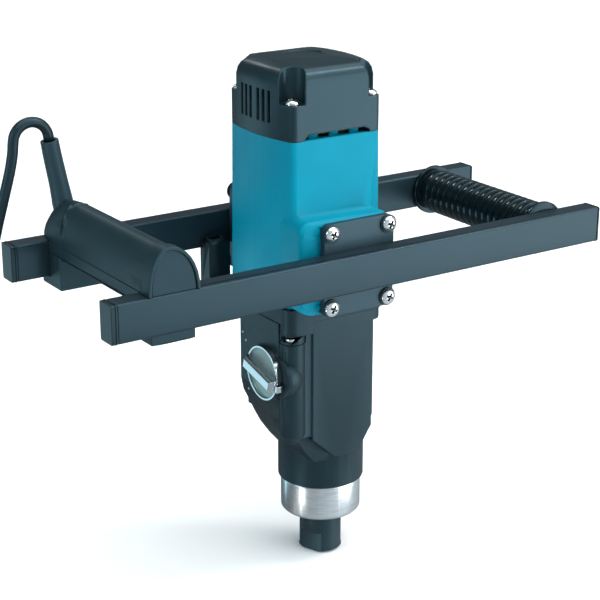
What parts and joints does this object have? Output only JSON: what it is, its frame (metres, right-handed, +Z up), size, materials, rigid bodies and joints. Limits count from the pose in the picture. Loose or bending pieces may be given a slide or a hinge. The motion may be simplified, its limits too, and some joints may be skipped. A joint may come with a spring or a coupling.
{
  "type": "mixing drill",
  "caption": "Hand held mixing drill with a side rail on each side, a D-shaped switch handle, a ribbed grip, a two-speed gearbox with a turn knob and a threaded paddle spindle.",
  "frame": {"origin": "centre of the spindle tip, at the mouth of the threaded paddle socket", "axes": "+Z up the spindle axis, +X along the rails from the switch handle to the side grip, +Y to the rear rail"},
  "size_m": [0.5952, 0.1561, 0.362],
  "materials": {
    "teal_plastic": "smooth moulded, satin sheen",
    "dark_plastic": "fine moulded texture",
    "black_casting": "powder coated casting",
    "dark_steel": "satin powder coat",
    "plug_black": "moulded",
    "ring_aluminium": "turned",
    "bright_screw": "bright zinc",
    "chrome_knob": "polished chrome",
    "black_steel": "blackened",
    "gear_steel": "ground and hardened",
    "lamination": "stacked sheets",
    "copper": "enamelled wire",
    "brass": "pressed",
    "carbon": "pressed carbon",
    "rubber": "matte rubber",
    "bare_aluminium": "as cast"
  },
  "bodies": {
    "frame": {"motor_housing": "teal_plastic", "top_cover": "dark_plastic", "top_cover_screws": "bright_screw", "gear_housing": "black_casting", "gear_housing_cover": "black_casting", "gear_housing_screws": "bright_screw", "gear_plate": "bare_aluminium", "neck_ring": "ring_aluminium", "oil_seal": "rubber", "spindle_bearing_lower": "gear_steel", "spindle_bearing_upper": "gear_steel", "armature_bearing_lower": "gear_steel", "armature_bearing_upper": "gear_steel", "countershaft_bearings": "gear_steel", "field_core": "lamination", "field_coils": "copper", "fan_baffle": "plug_black", "brush_holders": "brass", "carbon_brushes": "carbon", "lead_duct": "plug_black", "front_rail": "dark_steel", "rear_rail": "dark_steel", "rail_end_plugs": "plug_black", "front_plate": "dark_steel", "rear_plate": "dark_steel", "front_plate_bolts": "bright_screw", "rear_plate_bolts": "bright_screw", "handle_upper_shell": "dark_plastic", "handle_lower_shell": "dark_plastic", "handle_screws": "bright_screw", "switch_body": "plug_black", "cord_clamp": "plug_black", "cord_guard": "rubber", "side_tube": "gear_steel", "side_grip": "rubber", "cord_lead": "rubber", "cord_coil": "rubber", "cord_tail": "rubber", "plug_body": "plug_black", "plug_pins": "bright_screw"},
    "spindle": {"spindle": "black_steel", "slow_spindle_gear": "gear_steel", "fast_spindle_gear": "gear_steel", "gear_spacer": "gear_steel", "spindle_circlip": "black_steel"},
    "countershaft": {"countershaft": "gear_steel", "countershaft_wheel": "gear_steel"},
    "cluster": {"sliding_cluster": "gear_steel"},
    "armature": {"armature_shaft": "gear_steel", "armature_core": "lamination", "armature_coils": "copper", "commutator": "copper", "cooling_fan": "dark_plastic"},
    "knob": {"speed_knob": "chrome_knob"},
    "trigger": {"trigger": "plug_black"},
    "lock": {"lock_button": "plug_black"}
  },
  "joints": [
    {"name": "spindle_spin", "type": "hinge", "parent": "frame", "child": "spindle", "pos_m": [0, 0, 0.1], "axis": [0, 0, 1], "continuous": true},
    {"name": "countershaft_spin", "type": "hinge", "parent": "frame", "child": "countershaft", "pos_m": [-0.02598, -0.015, 0.15], "axis": [0, 0, 1], "continuous": true},
    {"name": "armature_spin", "type": "hinge", "parent": "frame", "child": "armature", "pos_m": [-0.014, 0, 0.26], "axis": [0, 0, 1], "continuous": true},
    {"name": "knob_turn", "type": "hinge", "parent": "frame", "child": "knob", "pos_m": [-0.0575, -0.015, 0.1515], "axis": [-1, 0, 0], "range_deg": [0, 180]},
    {"name": "cluster_slide", "type": "slide", "parent": "countershaft", "child": "cluster", "axis": [0, 0, 1], "range_m": [0, 0.0145]},
    {"name": "trigger_pull", "type": "slide", "parent": "frame", "child": "trigger", "axis": [0, 0, 1], "range_m": [0, 0.0045], "stiffness_N_per_m": 400, "springref_m": -0.003},
    {"name": "lock_press", "type": "slide", "parent": "frame", "child": "lock", "axis": [-1, 0, 0], "range_m": [0, 0.003], "stiffness_N_per_m": 300, "springref_m": -0.002}
  ],
  "couplings": [
    {"joint": "countershaft_spin", "follows": "spindle_spin", "ratio": -4},
    {"joint": "armature_spin", "follows": "spindle_spin", "ratio": 20},
    {"joint": "knob_turn", "follows": "cluster_slide", "rad_per_m": 216.66}
  ]
}
